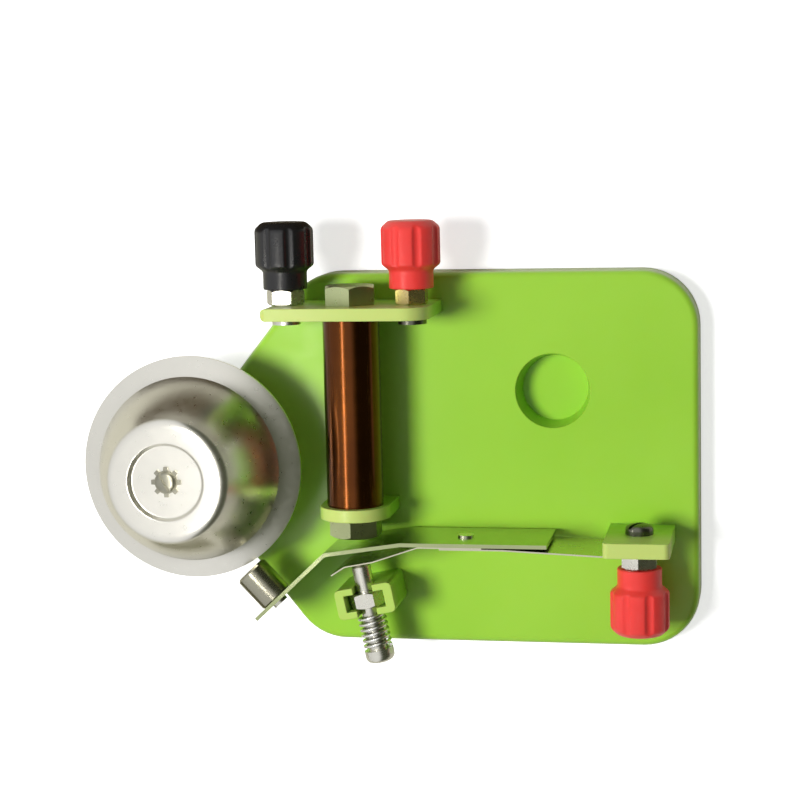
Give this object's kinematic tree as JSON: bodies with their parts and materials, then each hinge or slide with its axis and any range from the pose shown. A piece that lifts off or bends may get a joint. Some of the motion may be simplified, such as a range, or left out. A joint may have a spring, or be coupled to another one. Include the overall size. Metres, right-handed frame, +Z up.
{
  "type": "electric bell demonstrator",
  "caption": "Trembler bell for teaching: a gong, an electromagnet, a sprung hammer arm and an adjustable interrupter contact on a moulded base with screw terminals.",
  "frame": {"origin": "on the flat underside of the base, at the middle of its square part", "axes": "+X along the base from the gong to the square end, +Y across it towards the two upper terminals, +Z up out of the base"},
  "size_m": [0.1298, 0.0935, 0.0394],
  "materials": {
    "base_plastic": "satin moulded plastic, yellow-green",
    "nickel": "satin nickel plate",
    "steel": "zinc-plated steel",
    "steel_dark": "darkened plated steel",
    "arm_steel": "plated spring steel strip",
    "leaf_bronze": "phosphor bronze strip",
    "tinned": "tinned brass",
    "brass": "turned brass",
    "copper": "enamelled copper wire",
    "former_plastic": "moulded tube",
    "silver": "silver contact",
    "black_plastic": "black moulded plastic",
    "red_plastic": "red moulded plastic",
    "wire_cover": "covered wire"
  },
  "bodies": {
    "frame": {"base_moulding": "base_plastic", "gong": "nickel", "gong_post": "steel", "gong_post_foot_screw": "steel", "gong_screw": "nickel", "star_washer": "nickel", "core_bolt": "steel_dark", "core_nut": "steel_dark", "coil_former": "former_plastic", "coil_winding": "copper", "coil_outer_turns": "copper", "coil_leads": "copper", "terminal_stud_black": "steel", "terminal_stud_red": "brass", "terminal_bolt_right": "steel_dark", "terminal_nuts": "steel", "terminal_nut_brass": "brass", "solder_tags": "tinned", "terminal_washer_right": "steel", "armature_spring": "leaf_bronze", "contact_nut": "steel", "contact_spring": "steel", "contact_wire": "wire_cover"},
    "armature": {"armature": "arm_steel", "contact_leaf": "leaf_bronze", "leaf_contact": "silver", "armature_rivet": "steel", "hammer": "nickel", "hammer_rivet": "steel"},
    "bush_black": {"knob_bush_black": "brass"},
    "knob_black": {"knob_black": "black_plastic"},
    "bush_red": {"knob_bush_red": "brass"},
    "knob_red": {"knob_red": "red_plastic"},
    "bush_right": {"knob_bush_right": "brass"},
    "knob_right": {"knob_right": "red_plastic"},
    "screw_tip": {"contact_tip": "silver"},
    "contact_screw": {"contact_screw": "steel"}
  },
  "joints": [
    {"name": "armature_swing", "type": "hinge", "parent": "frame", "child": "armature", "pos_m": [0.02385, -0.01675, 0.0174], "axis": [0, 0, 1], "range_deg": [-0.75, 0], "stiffness_Nm_per_rad": 0.21, "springref_deg": 0.57, "deforming": ["armature_spring"]},
    {"name": "knob_black_out", "type": "slide", "parent": "frame", "child": "bush_black", "axis": [0, 1, 0], "range_m": [0, 0.00385]},
    {"name": "knob_black_turn", "type": "hinge", "parent": "bush_black", "child": "knob_black", "pos_m": [-0.0408, 0.03745, 0.0174], "axis": [0, 1, 0], "range_deg": [0, 1980]},
    {"name": "knob_red_out", "type": "slide", "parent": "frame", "child": "bush_red", "axis": [0, 1, 0], "range_m": [0, 0.00385]},
    {"name": "knob_red_turn", "type": "hinge", "parent": "bush_red", "child": "knob_red", "pos_m": [-0.014, 0.03745, 0.0174], "axis": [0, 1, 0], "range_deg": [0, 1980]},
    {"name": "knob_right_out", "type": "slide", "parent": "frame", "child": "bush_right", "axis": [0, -1, 0], "range_m": [0, 0.00385]},
    {"name": "knob_right_turn", "type": "hinge", "parent": "bush_right", "child": "knob_right", "pos_m": [0.0324, -0.02055, 0.0174], "axis": [0, -1, 0], "range_deg": [0, 1980]},
    {"name": "contact_screw_out", "type": "slide", "parent": "frame", "child": "screw_tip", "axis": [0.1908, -0.9816, 0], "range_m": [0, 0.00245], "deforming": ["contact_spring"]},
    {"name": "contact_screw_turn", "type": "hinge", "parent": "screw_tip", "child": "contact_screw", "pos_m": [-0.02495, -0.0282, 0.0174], "axis": [0.1908, -0.9816, 0], "range_deg": [0, 1260]}
  ],
  "couplings": [
    {"joint": "knob_black_turn", "follows": "knob_black_out", "rad_per_m": 8975},
    {"joint": "knob_red_turn", "follows": "knob_red_out", "rad_per_m": 8975},
    {"joint": "knob_right_turn", "follows": "knob_right_out", "rad_per_m": 8975},
    {"joint": "contact_screw_turn", "follows": "contact_screw_out", "rad_per_m": 8975}
  ]
}
